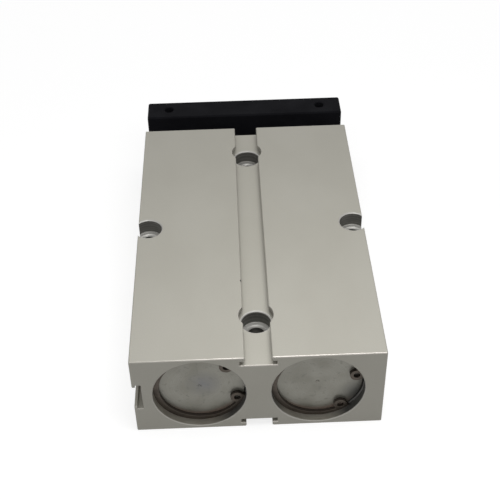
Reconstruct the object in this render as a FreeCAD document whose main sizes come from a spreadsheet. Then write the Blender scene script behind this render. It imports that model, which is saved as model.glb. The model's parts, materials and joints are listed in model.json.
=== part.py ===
import FreeCAD, Part
import os
import re
import Sketcher
from FreeCAD import Rotation, Vector

# Twin rod pneumatic cylinder: two pistons side by side in one block, joined by a front plate.
# Millimetres. X runs across the block, Y along the rods towards the front plate, Z up from the base.
# Lengths along Y are counted from the block's rear face. Each piece's placement then moves them back
# by half the whole length, so the origin lies under the middle of the retracted cylinder.

SIZES = {
    # Block round the bores
    "bore": 32.0,
    "seat_step": 1.5,
    "groove_wall": 0.7,
    "web_wall": 1.4,
    "side_hole_wall": 1.3,
    "edge_round": 0.5,
    "edge_chamfer": 0.3,
    "stroke": 75.0,
    # T-slots along the top and the bottom
    "slot_mouth": 10.0,
    "slot_undercut": 13.8,
    "slot_lip": 2.1,
    "slot_depth": 4.0,
    # Sensor slot along the left side
    "sensor_mouth": 10.4,
    "sensor_undercut": 12.8,
    "sensor_lip": 1.2,
    "sensor_depth": 3.4,
    # Mounting holes, counterbored from both faces
    "hole_diameter": 6.6,
    "hole_chamfer": 0.8,
    "cbore_diameter": 11.2,
    "cbore_depth": 9.7,
    "side_cbore_depth": 6.2,
    "cbore_chamfer": 0.4,
    "relief_step": 1.1,
    "front_hole": 19.4,
    "side_hole_inset": 4.2,
    # Air ports in the right side
    "port_diameter": 8.6,
    "port_floor": 1.8,
    "port_chamfer": 0.6,
    "port_inset": 4.0,
    "passage_diameter": 4.0,
    "passage_wall": 1.1,
    # Circlips and their grooves
    "clip_recess": 3.1,
    "clip_thickness": 1.5,
    "clip_groove": 0.8,
    "clip_back_width": 3.0,
    "clip_end_width": 2.0,
    "clip_lug_angle": 34.5,
    "clip_lug_lead": 7.5,
    "clip_lug_inset": 3.1,
    "clip_lug_diameter": 5.2,
    "clip_eye_diameter": 2.5,
    "rear_clip_turn_left": 12.5,
    "rear_clip_turn_right": -19.0,
    "front_clip_turn": 90.0,
    # Rear caps and front covers
    "cap_thickness": 7.4,
    "cap_chamfer": 0.5,
    "centre_mark": 1.6,
    "cover_collar": 2.4,
    "collar_wall": 2.2,
    "bush_wall": 1.5,
    "bush_length": 22.0,
    "bush_inset": 0.5,
    "bush_land": 2.6,
    "rod_seal_width": 5.5,
    "rod_seal_height": 3.6,
    "rod_seal_land": 1.2,
    "wiper_gap": 0.4,
    "bumper_thickness": 2.0,
    "bumper_step": 2.5,
    "bumper_gap": 1.3,
    # O-rings of caps and covers
    "ring_section": 2.3,
    "ring_groove_width": 3.0,
    # Pistons
    "washer_floor": 1.0,
    "front_nose": 3.8,
    "nose_step": 3.5,
    "magnet_width": 3.5,
    "magnet_step": 1.2,
    "seal_width": 3.4,
    "seal_height": 3.3,
    "wear_width": 2.6,
    "wear_height": 1.6,
    "land": 0.9,
    "piston_slack": 0.3,
    "rod_seat_depth": 2.0,
    # Rods and their screws
    "rod_diameter": 16.0,
    "rod_chamfer": 0.8,
    "thread_core": 6.8,
    "thread_length": 15.0,
    "tap_spare": 3.0,
    "piston_head": 14.0,
    "piston_head_height": 3.0,
    "piston_key": 5.0,
    "piston_key_depth": 2.0,
    "screw_head": 13.0,
    "screw_head_height": 8.0,
    "screw_key": 6.0,
    "key_depth": 4.0,
    "screw_chamfer": 0.6,
    # Front plate
    "plate_floor": 3.5,
    "plate_side_inset": 0.25,
    "plate_top_inset": 0.5,
    "plate_chamfer": 0.6,
    "plate_rod_seat": 1.5,
    "head_sink": 0.5,
    "tool_hole": 5.0,
    "tool_spread": 73.0,
    "tool_height": 12.0,
    "edge_hole": 4.2,
    "tap_wall": 1.2,
    "tap_chamfer": 0.4,
    # Stroke adjuster in the middle of the plate
    "adjust_range": 10.0,
    "bolt_diameter": 8.0,
    "bolt_spare": 1.5,
    "bolt_tip": 4.0,
    "bolt_key": 4.0,
    "stop_diameter": 12.0,
    "stop_length": 3.2,
    "stop_skin": 1.2,
    "stop_proud": 1.5,
    "nut_flats": 13.0,
    "nut_thickness": 5.0,
    # Clearances
    "run_clearance": 0.05,
    "fit_clearance": 0.05,
    "end_clearance": 0.3,
    "screw_clearance": 0.5,
    "overcut": 1.0,
}

DERIVED = {
    # Block
    "bore_radius": "bore / 2",
    "seat_radius": "bore_radius + seat_step",
    "groove_radius": "seat_radius + clip_groove",
    "half_height": "groove_radius + groove_wall",
    "hole_radius": "hole_diameter / 2",
    "cbore_radius": "cbore_diameter / 2",
    "relief_radius": "cbore_radius + relief_step",
    "web": "hole_diameter + 2 * (web_wall + seat_step)",
    "bore_pitch": "bore + web",
    "side_wall": "side_hole_inset + hole_radius + side_hole_wall",
    "half_width": "bore_pitch / 2 + bore_radius + side_wall",
    # Stack along the rods, from the rear face forward
    "cap_back": "clip_recess + clip_thickness",
    "rear_seat": "cap_back + cap_thickness",
    "piston_back": "rear_seat + bumper_thickness + end_clearance",
    "washer_front": "piston_back + piston_head_height + washer_floor",
    "magnet_front": "washer_front + magnet_width",
    "seal_back": "magnet_front + land",
    "seal_front": "seal_back + seal_width",
    "wear_back": "seal_front + land",
    "wear_front": "wear_back + wear_width",
    "land_front": "wear_front + land",
    "piston_front": "land_front + front_nose",
    "front_seat": "piston_front + stroke + end_clearance + bumper_thickness",
    "bush_back": "front_seat + bush_inset",
    "bush_front": "bush_back + bush_length",
    "rod_seal_back": "bush_front + bush_land",
    "rod_seal_front": "rod_seal_back + rod_seal_width",
    "cover_front": "rod_seal_front + rod_seal_land",
    "collar_front": "cover_front + cover_collar",
    "clip_front": "cover_front + clip_thickness",
    "block_length": "clip_front + clip_recess",
    "stop_back": "block_length + end_clearance + adjust_range",
    "stop_front": "stop_back + stop_length",
    "stop_seat": "stop_front + end_clearance",
    "plate_back": "stop_back + stop_proud",
    "rod_front": "plate_back + plate_rod_seat",
    "head_seat": "rod_front + plate_floor",
    "head_front": "head_seat + screw_head_height",
    "plate_front": "head_front + head_sink",
    "bolt_front": "plate_front + nut_thickness + adjust_range + bolt_spare",
    "centre": "bolt_front / 2",
    # Holes in the block
    "rear_port": "rear_seat + port_inset",
    "front_port": "front_seat - port_inset",
    "rear_hole": "rear_port + passage_diameter / 2 + passage_wall + hole_radius",
    "last_hole": "block_length - front_hole",
    "side_hole": "(rear_hole + last_hole) / 2",
    "hole_seat": "half_height - cbore_depth",
    "side_hole_seat": "half_height - side_cbore_depth",
    "slot_floor": "half_height - slot_depth",
    "groove_front": "cap_back + fit_clearance",
    # Circlips
    "clip_radius": "groove_radius - fit_clearance",
    "clip_inner": "clip_radius - (clip_back_width + clip_end_width) / 2",
    "clip_offset": "(clip_back_width - clip_end_width) / 2",
    "clip_gap_angle": "clip_lug_angle - clip_lug_lead",
    "lug_circle": "clip_radius - clip_lug_inset",
    # Caps and covers
    "cap_radius": "seat_radius - fit_clearance",
    "ring_floor": "seat_radius - ring_section - 2 * fit_clearance",
    "ring_radius": "(ring_floor + seat_radius) / 2",
    "cap_ring": "(cap_back + rear_seat) / 2",
    "cover_ring": "(front_seat + cover_front) / 2",
    "rod_radius": "rod_diameter / 2",
    "bush_inner": "rod_radius + run_clearance",
    "bush_outer": "bush_inner + bush_wall",
    "bush_bore": "bush_outer + fit_clearance",
    "rod_seal_floor": "rod_radius + rod_seal_height",
    "wiper_radius": "rod_radius + wiper_gap",
    "collar_radius": "wiper_radius + collar_wall",
    "bumper_inner": "rod_radius + bumper_gap",
    "bumper_outer": "bore_radius - bumper_step",
    # Pistons and rods
    "nose_radius": "bore_radius - nose_step",
    "land_radius": "bore_radius - piston_slack",
    "seal_floor": "bore_radius - seal_height",
    "wear_floor": "bore_radius - wear_height",
    "magnet_radius": "bore_radius - magnet_step",
    "hub_radius": "piston_head / 2 + land",
    "rod_back": "piston_front - rod_seat_depth",
    "tap_radius": "thread_core / 2",
    "tap_depth": "thread_length + tap_spare",
    "core_radius": "tap_radius - fit_clearance",
    "shank_hole": "tap_radius + screw_clearance",
    # Front plate and adjuster
    "plate_half_width": "half_width - plate_side_inset",
    "plate_half_height": "half_height - plate_top_inset",
    "plate_middle": "(plate_back + plate_front) / 2",
    "tool_radius": "tool_hole / 2",
    "edge_radius": "edge_hole / 2",
    "edge_tip": "tool_height / 2 + tool_radius + tap_wall",
    "bolt_radius": "bolt_diameter / 2",
    "bolt_hole": "bolt_radius + run_clearance",
    "stop_radius": "stop_diameter / 2",
    "tip_radius": "bolt_tip / 2",
    "tip_back": "stop_back + stop_skin",
}

doc = FreeCAD.newDocument("twin_rod_cylinder")
sheet = doc.addObject("Spreadsheet::Sheet", "sizes")
for row, (alias, size) in enumerate(SIZES.items(), start=1):
    sheet.set(f"A{row}", alias)
    sheet.set(f"B{row}", str(size))
    sheet.setAlias(f"B{row}", alias)
doc.recompute()

SIDES = {"left": "-bore_pitch / 2", "right": "bore_pitch / 2"}
TOUCHING = 0.001
pieces = []


def bind(formula):
    """Gives a formula in size names as an expression that reads the sheet."""

    def swap(match):
        word = match.group()
        if word in DERIVED:
            return "(" + bind(DERIVED[word]) + ")"
        return "sizes." + word if word in SIZES else word

    return re.sub(r"[a-z_]+", swap, formula)


def number(formula):
    return float(sheet.evalExpression(bind(formula)))


def tie(thing, **formulas):
    """Binds properties of an object to formulas."""
    for name, formula in formulas.items():
        thing.setExpression(name.replace("__", "."), bind(formula))


def place(thing, x="0", y="0"):
    """Puts a piece whose own axis lies in the middle of its height."""
    tie(thing, Placement__Base__x=x, Placement__Base__y=f"{y} - centre", Placement__Base__z="half_height")
    pieces.append(thing)


# Sketches and features of a body

def new_sketch(body, name, role, offset="0"):
    sketch = body.newObject("Sketcher::SketchObject", name)
    plane = next(item for item in body.Origin.OriginFeatures if item.Role == role)
    sketch.AttachmentSupport = (plane, [""])
    sketch.MapMode = "FlatFace"
    if offset != "0":
        tie(sketch, AttachmentOffset__Base__z=offset)
    return sketch


def hold(sketch, edge, end, x, y):
    """Ties one end of a line to its place in the sketch."""
    for direction, axis, formula in (("DistanceX", -2, x), ("DistanceY", -1, y)):
        if formula == "0":
            sketch.addConstraint(Sketcher.Constraint("PointOnObject", edge, end, axis))
        else:
            rule = Sketcher.Constraint(direction, -1, 1, edge, end, number(formula))
            sketch.setExpression(f"Constraints[{sketch.addConstraint(rule)}]", bind(formula))


def draw_outline(sketch, points):
    """Draws a closed outline with every corner tied to the sizes."""
    corners = [Vector(number(x), number(y), 0) for x, y in points]
    first = sketch.GeometryCount
    count = len(points)
    for k, corner in enumerate(corners):
        sketch.addGeometry(Part.LineSegment(corner, corners[(k + 1) % count]), False)
    for k, (x, y) in enumerate(points):
        following = first + (k + 1) % count
        sketch.addConstraint(Sketcher.Constraint("Coincident", first + k, 2, following, 1))
        hold(sketch, first + k, 1, x, y)


def draw_axis(sketch, start, end):
    """Draws the construction line that a cut turns about."""
    line = Part.LineSegment(*(Vector(number(x), number(y), 0) for x, y in (start, end)))
    edge = sketch.addGeometry(line, True)
    hold(sketch, edge, 1, *start)
    hold(sketch, edge, 2, *end)


def turned(label, profile):
    """Makes a body by turning a profile of (radius, length) corners about its own Y axis."""
    body = doc.addObject("PartDesign::Body", label)
    sketch = new_sketch(body, label + "_profile", "XY_Plane")
    draw_outline(sketch, profile)
    turn = body.newObject("PartDesign::Revolution", label + "_turn")
    turn.Profile = sketch
    turn.ReferenceAxis = (sketch, ["V_Axis"])
    turn.Angle = 360
    doc.recompute()
    return body


def check_cut(body, volume):
    doc.recompute()
    if body.Shape.Volume >= volume:
        raise RuntimeError(f"a cut in {body.Label} removes nothing")


def bored(body, name, role, axis, profile, offset="0"):
    """Cuts what a profile of (radius, length) corners sweeps about an axis along X, Y or Z.

    The axis is given as the direction it has in the sketch, along or up, and its place there.
    """
    volume = body.Shape.Volume
    direction, middle = axis
    sketch = new_sketch(body, name + "_profile", role, offset)
    points = [(f"{middle} + {radius}" if radius != "0" else middle, length) for radius, length in profile]
    ends = [(middle, profile[0][1]), (middle, profile[-1][1])]
    if direction == "along":
        points = [point[::-1] for point in points]
        ends = [point[::-1] for point in ends]
    draw_axis(sketch, *ends)
    draw_outline(sketch, points)
    cut = body.newObject("PartDesign::Groove", name)
    cut.Profile = sketch
    cut.ReferenceAxis = (sketch, ["Axis0"])
    cut.Angle = 360
    check_cut(body, volume)


def keyed(body, face, flats, depth, forward):
    """Cuts a hexagon socket into a screw's end face."""
    volume = body.Shape.Volume
    sketch = new_sketch(body, body.Name + "_key", "XZ_Plane", f"-({face})")
    corners = [(f"{flats} / sqrt(3) * cos({60 * k} deg)", f"{flats} / sqrt(3) * sin({60 * k} deg)")
               for k in range(6)]
    draw_outline(sketch, [(x, y if k % 3 else "0") for k, (x, y) in enumerate(corners)])
    socket = body.newObject("PartDesign::Pocket", body.Name + "_socket")
    socket.Profile = sketch
    tie(socket, Length=depth)
    socket.Reversed = not forward
    check_cut(body, volume)


def named_where(kind, items, rule):
    return [f"{kind}{k}" for k, item in enumerate(items, start=1) if rule(item)]


def is_line_along_y(edge):
    return edge.Curve.TypeId == "Part::GeomLine" and abs(edge.Curve.Direction.y) > 1 - TOUCHING


def is_end_face(face):
    return face.Surface.TypeId == "Part::GeomPlane" and abs(face.Surface.Axis.y) > 1 - TOUCHING


# Cylinder body

def slot_corners(mouth, undercut, lip, depth):
    """Corners of a T-slot, from one lip round to the other, as distance from its middle and depth."""
    half = [(f"{mouth} / 2", "0"), (f"{mouth} / 2", lip),
            (f"{undercut} / 2", lip), (f"{undercut} / 2", depth)]
    return [(f"-{across}", down) for across, down in half] + half[::-1]


def body_outline():
    """The extruded section, clockwise from the lower left corner."""
    slot = slot_corners("slot_mouth", "slot_undercut", "slot_lip", "slot_depth")
    sensor = slot_corners("sensor_mouth", "sensor_undercut", "sensor_lip", "sensor_depth")
    points = [("-half_width", "-half_height")]
    points += [(f"-half_width + {down}", across) for across, down in sensor]
    points += [("-half_width", "half_height")]
    points += [(across, f"half_height - {down}") for across, down in slot]
    points += [("half_width", "half_height"), ("half_width", "-half_height")]
    points += [(across, f"-half_height + {down}") for across, down in slot[::-1]]
    return points


def round_edges(body, extrusion):
    """Rounds the long outer edges and the slot mouths, then breaks the edges of both end faces."""
    box = extrusion.Shape.BoundBox

    def outside(edge):
        middle = edge.CenterOfMass
        on_side = min(abs(middle.x - box.XMin), abs(middle.x - box.XMax)) < TOUCHING
        on_top = min(abs(middle.z - box.ZMin), abs(middle.z - box.ZMax)) < TOUCHING
        return is_line_along_y(edge) and (on_side or on_top)

    rounds = body.newObject("PartDesign::Fillet", "body_rounds")
    rounds.Base = (extrusion, named_where("Edge", extrusion.Shape.Edges, outside))
    tie(rounds, Radius="edge_round")
    doc.recompute()
    breaks = body.newObject("PartDesign::Chamfer", "body_breaks")
    breaks.Base = (rounds, named_where("Face", rounds.Shape.Faces, is_end_face))
    tie(breaks, Size="edge_chamfer")
    doc.recompute()


def make_cylinder_body():
    body = doc.addObject("PartDesign::Body", "cylinder_body")
    sketch = new_sketch(body, "body_section", "XZ_Plane")
    draw_outline(sketch, body_outline())
    extrusion = body.newObject("PartDesign::Pad", "body_extrusion")
    extrusion.Profile = sketch
    extrusion.Reversed = True
    tie(extrusion, Length="block_length")
    doc.recompute()
    round_edges(body, extrusion)
    mouth = "seat_radius + edge_chamfer + overcut"
    rear_half = [("0", "-overcut"), (mouth, "-overcut"), ("seat_radius", "edge_chamfer"),
                 ("seat_radius", "clip_recess"), ("groove_radius", "clip_recess"),
                 ("groove_radius", "groove_front"), ("seat_radius", "groove_front"),
                 ("seat_radius", "rear_seat"), ("bore_radius", "rear_seat")]
    front_half = [("bore_radius", "front_seat"), ("seat_radius", "front_seat")]
    front_half += [(radius, f"block_length - ({length})") for radius, length in rear_half[-3::-1]]
    bore_profile = rear_half + front_half
    for side, middle in SIDES.items():
        bored(body, f"bore_{side}", "XY_Plane", ("up", middle), bore_profile)
    drill_mounting_holes(body)
    drill_ports(body)
    place(body)


def mirrored_ends(half):
    """Repeats the upper half of a profile below the middle, from the bottom up."""
    return [(radius, f"-({height})") for radius, height in half] + half[::-1]


def counterbore_foot(seat):
    """The profile of a screw's seat at this height, from the counterbore's wall to the plain hole."""
    return [("cbore_radius", seat), ("hole_radius + hole_chamfer", seat),
            ("hole_radius", f"{seat} - hole_chamfer")]


def drill_mounting_holes(body):
    above = "half_height + overcut"
    middle_hole = [("0", above), ("relief_radius", above), ("relief_radius", "slot_floor"),
                   ("cbore_radius + cbore_chamfer", "slot_floor"),
                   ("cbore_radius", "slot_floor - cbore_chamfer")] + counterbore_foot("hole_seat")
    side_hole = [("0", above), ("cbore_radius + cbore_chamfer + overcut", above),
                 ("cbore_radius", "half_height - cbore_chamfer")] + counterbore_foot("side_hole_seat")
    for name, length in (("rear", "rear_hole"), ("front", "last_hole")):
        bored(body, f"hole_{name}", "YZ_Plane", ("up", length), mirrored_ends(middle_hole))
    for side, sign in (("left", "-"), ("right", "")):
        bored(body, f"hole_{side}", "YZ_Plane", ("up", "side_hole"), mirrored_ends(side_hole),
              offset=f"{sign}(half_width - side_hole_inset)")


def drill_ports(body):
    """Cuts each port from the right side and its passage through the web to the left bore."""
    port = "port_diameter / 2"
    bottom = "bore_pitch / 2 + bore_radius + port_floor"
    passage = "passage_diameter / 2"
    far_end = "-web / 2 - overcut"
    profile = [("0", "half_width + overcut"), (f"{port} + port_chamfer + overcut", "half_width + overcut"),
               (port, "half_width - port_chamfer"), (port, bottom), (passage, bottom),
               (passage, far_end), ("0", far_end)]
    for name, length in (("rear", "rear_port"), ("front", "front_port")):
        bored(body, f"port_{name}", "XY_Plane", ("along", length), profile)


# Circlips

def cylinder(name, radius, bottom, height, x="0", y="0"):
    solid = doc.addObject("Part::Cylinder", name)
    tie(solid, Radius=radius, Height=height)
    tie(solid, Placement__Base__x=x, Placement__Base__y=y, Placement__Base__z=bottom)
    return solid


def fused(name, shapes):
    solid = doc.addObject("Part::MultiFuse", name)
    solid.Shapes = shapes
    return solid


def minus(name, base, tool):
    solid = doc.addObject("Part::Cut", name)
    solid.Base = base
    solid.Tool = tool
    return solid


def make_circlip(label, turn, x, face):
    """An internal circlip, thicker opposite its gap, with a holed lug at each end."""
    rim = cylinder(label + "_rim", "clip_radius", "0", "clip_thickness")
    rim.Placement.Rotation = Rotation(Vector(0, 0, 1), number(f"{turn} + clip_gap_angle"))
    tie(rim, Placement__Rotation__Angle=f"({turn} + clip_gap_angle) * 1 deg")
    tie(rim, Angle="360 - 2 * clip_gap_angle")
    opening = cylinder(label + "_opening", "clip_inner", "-overcut", "clip_thickness + 2 * overcut",
                       x=f"clip_offset * cos({turn} * 1 deg)", y=f"clip_offset * sin({turn} * 1 deg)")
    lugs = []
    eyes = []
    for end, sign in (("first", "-"), ("second", "+")):
        angle = f"({turn} {sign} clip_lug_angle) * 1 deg"
        middle = {"x": f"lug_circle * cos({angle})", "y": f"lug_circle * sin({angle})"}
        lugs.append(cylinder(f"{label}_{end}_lug", "clip_lug_diameter / 2", "0", "clip_thickness", **middle))
        eyes.append(cylinder(f"{label}_{end}_eye", "clip_eye_diameter / 2", "-overcut",
                             "clip_thickness + 2 * overcut", **middle))
    ring = minus(label + "_ring", rim, opening)
    clip = minus(label, fused(label + "_blank", [ring] + lugs), fused(label + "_eyes", eyes))
    clip.Placement.Rotation = Rotation(Vector(1, 0, 0), 90)
    place(clip, x, face)


# Rear caps, front covers and what sits in them

def ring_groove(middle):
    """Corners of an O-ring groove in an outer surface of the cap radius."""
    back = f"{middle} - ring_groove_width / 2"
    front = f"{middle} + ring_groove_width / 2"
    return [("cap_radius", back), ("ring_floor", back), ("ring_floor", front), ("cap_radius", front)]


def make_o_ring(label, x, middle):
    ring = doc.addObject("Part::Torus", label)
    tie(ring, Radius1="ring_radius", Radius2="ring_section / 2")
    ring.Placement.Rotation = Rotation(Vector(1, 0, 0), 90)
    place(ring, x, middle)


def sleeve(inner, outer, back, front):
    """Profile of a plain ring."""
    return [(inner, back), (outer, back), (outer, front), (inner, front)]


def make_rear_end(side, x):
    profile = [("0", "cap_back + centre_mark / 2"), ("centre_mark / 2", "cap_back"),
               ("cap_radius - cap_chamfer", "cap_back"), ("cap_radius", "cap_back + cap_chamfer")]
    profile += ring_groove("cap_ring")
    profile += [("cap_radius", "rear_seat - cap_chamfer"), ("cap_radius - cap_chamfer", "rear_seat"),
                ("0", "rear_seat")]
    place(turned(f"rear_cap_{side}", profile), x)
    make_o_ring(f"rear_cap_o_ring_{side}", x, "cap_ring")
    make_circlip(f"rear_circlip_{side}", f"rear_clip_turn_{side}", x, "cap_back")
    make_bumper(f"rear_bumper_{side}", x, "rear_seat", "rear_seat + bumper_thickness")


def make_bumper(label, x, back, front):
    place(turned(label, sleeve("bumper_inner", "bumper_outer", back, front)), x)


def make_front_end(side, x):
    profile = [("bush_bore", "front_seat"), ("cap_radius - cap_chamfer", "front_seat"),
               ("cap_radius", "front_seat + cap_chamfer")]
    profile += ring_groove("cover_ring")
    profile += [("cap_radius", "cover_front - cap_chamfer"), ("cap_radius - cap_chamfer", "cover_front"),
                ("collar_radius", "cover_front"), ("collar_radius", "collar_front - cap_chamfer"),
                ("collar_radius - cap_chamfer", "collar_front"), ("wiper_radius", "collar_front"),
                ("wiper_radius", "rod_seal_front"), ("rod_seal_floor", "rod_seal_front"),
                ("rod_seal_floor", "rod_seal_back"), ("bush_bore", "rod_seal_back")]
    place(turned(f"front_cover_{side}", profile), x)
    make_o_ring(f"front_cover_o_ring_{side}", x, "cover_ring")
    place(turned(f"rod_bush_{side}", sleeve("bush_inner", "bush_outer", "bush_back", "bush_front")), x)
    make_rod_seal(f"rod_seal_{side}", x)
    make_circlip(f"front_circlip_{side}", "front_clip_turn", x, "clip_front")
    make_bumper(f"front_bumper_{side}", x, "front_seat - bumper_thickness", "front_seat")


def make_rod_seal(label, x):
    """A lip seal with its groove towards the pressure."""
    inner = "rod_radius + run_clearance"
    outer = "rod_seal_floor - fit_clearance"
    back = "rod_seal_back + fit_clearance"
    front = "rod_seal_front - fit_clearance"
    middle = "rod_radius + rod_seal_height / 2"
    notch = f"{back} + rod_seal_width / 3"
    profile = [(inner, back), (f"{middle} - rod_seal_height / 4", back), (middle, notch),
               (f"{middle} + rod_seal_height / 4", back), (outer, back), (outer, front), (inner, front)]
    place(turned(label, profile), x)


# Pistons and rods

def make_piston(side, x):
    head_hole = "piston_head / 2 + screw_clearance"
    head_floor = "piston_back + piston_head_height"
    washer = [("shank_hole", head_floor), (head_hole, head_floor), (head_hole, "piston_back"),
              ("nose_radius - cap_chamfer", "piston_back"), ("nose_radius", "piston_back + cap_chamfer"),
              ("nose_radius", "washer_front"), ("shank_hole", "washer_front")]
    place(turned(f"magnet_washer_{side}", washer), x)
    magnet = sleeve("hub_radius + fit_clearance", "magnet_radius", "washer_front", "magnet_front")
    place(turned(f"piston_magnet_{side}", magnet), x)
    rod_hole = "rod_radius + fit_clearance"
    piston = [("shank_hole", "washer_front"), ("hub_radius", "washer_front"), ("hub_radius", "magnet_front"),
              ("land_radius", "magnet_front"), ("land_radius", "seal_back"), ("seal_floor", "seal_back"),
              ("seal_floor", "seal_front"), ("land_radius", "seal_front"), ("land_radius", "wear_back"),
              ("wear_floor", "wear_back"), ("wear_floor", "wear_front"), ("land_radius", "wear_front"),
              ("land_radius", "land_front"), ("nose_radius", "land_front"),
              ("nose_radius", "piston_front - cap_chamfer"), ("nose_radius - cap_chamfer", "piston_front"),
              (rod_hole, "piston_front"), (rod_hole, "rod_back"), ("shank_hole", "rod_back")]
    place(turned(f"piston_{side}", piston), x)
    make_piston_seal(f"piston_seal_{side}", x)
    wear = sleeve("wear_floor + fit_clearance", "bore_radius - run_clearance",
                  "wear_back + fit_clearance", "wear_front - fit_clearance")
    place(turned(f"wear_ring_{side}", wear), x)


def make_piston_seal(label, x):
    """A double-acting seal with a lip towards each chamber."""
    inner = "seal_floor + fit_clearance"
    outer = "bore_radius - run_clearance"
    shoulder = "land_radius - seal_height / 4"
    back = "seal_back + fit_clearance"
    front = "seal_front - fit_clearance"
    lip = "seal_width / 4"
    middle = "(seal_back + seal_front) / 2"
    profile = [(inner, back), (shoulder, back), (outer, f"{back} + {lip} / 2"), (outer, f"{back} + {lip}"),
               (shoulder, middle), (outer, f"{front} - {lip}"), (outer, f"{front} - {lip} / 2"),
               (shoulder, front), (inner, front)]
    place(turned(label, profile), x)


def make_rod(side, x):
    profile = [("tap_radius", "rod_back"), ("rod_radius - rod_chamfer", "rod_back"),
               ("rod_radius", "rod_back + rod_chamfer"), ("rod_radius", "rod_front - rod_chamfer"),
               ("rod_radius - rod_chamfer", "rod_front"), ("tap_radius", "rod_front"),
               ("tap_radius", "rod_front - tap_depth"), ("0", "rod_front - tap_depth - tap_radius / 2"),
               ("0", "rod_back + tap_depth + tap_radius / 2"), ("tap_radius", "rod_back + tap_depth")]
    place(turned(f"piston_rod_{side}", profile), x)


def screw_profile(head, face, seat, end, inward):
    """A screw from its head's face to the end of its thread; inward is the sign of that way along Y."""
    outward = "-" if inward == "+" else "+"
    return [("0", face), (f"{head} - screw_chamfer", face), (head, f"{face} {inward} screw_chamfer"),
            (head, seat), ("core_radius", seat), ("core_radius", f"{end} {outward} screw_chamfer"),
            ("core_radius - screw_chamfer", end), ("0", end)]


def make_screws(side, x):
    profile = screw_profile("piston_head / 2", "piston_back", "piston_back + piston_head_height",
                            "rod_back + thread_length", "+")
    screw = turned(f"piston_screw_{side}", profile)
    keyed(screw, "piston_back", "piston_key", "piston_key_depth", forward=True)
    place(screw, x)
    profile = screw_profile("screw_head / 2", "head_front", "head_seat", "rod_front - thread_length", "-")
    screw = turned(f"plate_screw_{side}", profile)
    keyed(screw, "head_front", "screw_key", "key_depth", forward=False)
    place(screw, x)


# Front plate and stroke adjuster

def make_front_plate():
    body = doc.addObject("PartDesign::Body", "front_plate")
    sketch = new_sketch(body, "plate_outline", "XZ_Plane", "-plate_back")
    wide = "plate_half_width"
    high = "plate_half_height"
    draw_outline(sketch, [(f"-{wide}", f"-{high}"), (wide, f"-{high}"), (wide, high), (f"-{wide}", high)])
    slab = body.newObject("PartDesign::Pad", "plate_slab")
    slab.Profile = sketch
    slab.Reversed = True
    tie(slab, Length="plate_front - plate_back")
    doc.recompute()
    breaks = body.newObject("PartDesign::Chamfer", "plate_breaks")
    breaks.Base = (slab, [f"Edge{k}" for k in range(1, len(slab.Shape.Edges) + 1)])
    tie(breaks, Size="plate_chamfer")
    doc.recompute()
    drill_plate(body)
    place(body)


def drill_plate(body):
    rod_seat = "rod_radius + fit_clearance"
    head_hole = "screw_head / 2 + screw_clearance"
    back = "plate_back - overcut"
    front = "plate_front + overcut"
    rod_profile = [("0", back), (rod_seat, back), (rod_seat, "rod_front"), ("shank_hole", "rod_front"),
                   ("shank_hole", "head_seat"), (head_hole, "head_seat"), (head_hole, front), ("0", front)]
    for side, middle in SIDES.items():
        bored(body, f"rod_seat_{side}", "XY_Plane", ("up", middle), rod_profile)
    stop_hole = "stop_radius + screw_clearance"
    stop_profile = [("0", back), (stop_hole, back), (stop_hole, "stop_seat"),
                    ("bolt_hole", "stop_seat"), ("bolt_hole", front), ("0", front)]
    bored(body, "stop_hole", "XY_Plane", ("up", "0"), stop_profile)
    tool_mouth = "tool_radius + tap_chamfer + overcut"
    tool_profile = [("0", back), (tool_mouth, back), ("tool_radius", "plate_back + tap_chamfer"),
                    ("tool_radius", "plate_front - tap_chamfer"), (tool_mouth, front), ("0", front)]
    top = "plate_half_height"
    edge_profile = [("0", f"{top} + overcut"), ("edge_radius + tap_chamfer + overcut", f"{top} + overcut"),
                    ("edge_radius", f"{top} - tap_chamfer"), ("edge_radius", "edge_tip + edge_radius / 2"),
                    ("0", "edge_tip")]
    for side, sign in (("left", "-"), ("right", "")):
        across = f"{sign}tool_spread / 2"
        for level, height in (("lower", "-tool_height / 2"), ("upper", "tool_height / 2")):
            bored(body, f"tool_hole_{level}_{side}", "XY_Plane", ("up", across), tool_profile, offset=height)
        for level, flip in (("upper", ""), ("lower", "-")):
            profile = [(radius, f"{flip}({height})") for radius, height in edge_profile]
            bored(body, f"edge_hole_{level}_{side}", "YZ_Plane", ("up", "plate_middle"), profile,
                  offset=across)


def make_adjuster():
    bolt = turned("adjusting_bolt", [
        ("0", "tip_back + fit_clearance"), ("tip_radius", "tip_back + fit_clearance"),
        ("tip_radius", "stop_front"), ("bolt_radius - screw_chamfer", "stop_front"),
        ("bolt_radius", "stop_front + screw_chamfer"), ("bolt_radius", "bolt_front - screw_chamfer"),
        ("bolt_radius - screw_chamfer", "bolt_front"), ("0", "bolt_front")])
    keyed(bolt, "bolt_front", "bolt_key", "key_depth", forward=False)
    place(bolt)
    socket = "tip_radius + fit_clearance"
    stop = turned("adjuster_bumper", [
        ("0", "stop_back"), ("stop_radius - screw_chamfer", "stop_back"),
        ("stop_radius", "stop_back + screw_chamfer"), ("stop_radius", "stop_front"),
        (socket, "stop_front"), (socket, "tip_back"), ("0", "tip_back")])
    place(stop)
    blank = doc.addObject("Part::Prism", "nut_blank")
    blank.Polygon = 6
    tie(blank, Circumradius="nut_flats / sqrt(3)", Height="nut_thickness")
    hole = cylinder("nut_hole", "bolt_hole", "-overcut", "nut_thickness + 2 * overcut")
    nut = minus("lock_nut", blank, hole)
    nut.Placement.Rotation = Rotation(Vector(1, 0, 0), -90)
    place(nut, y="plate_front")


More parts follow.
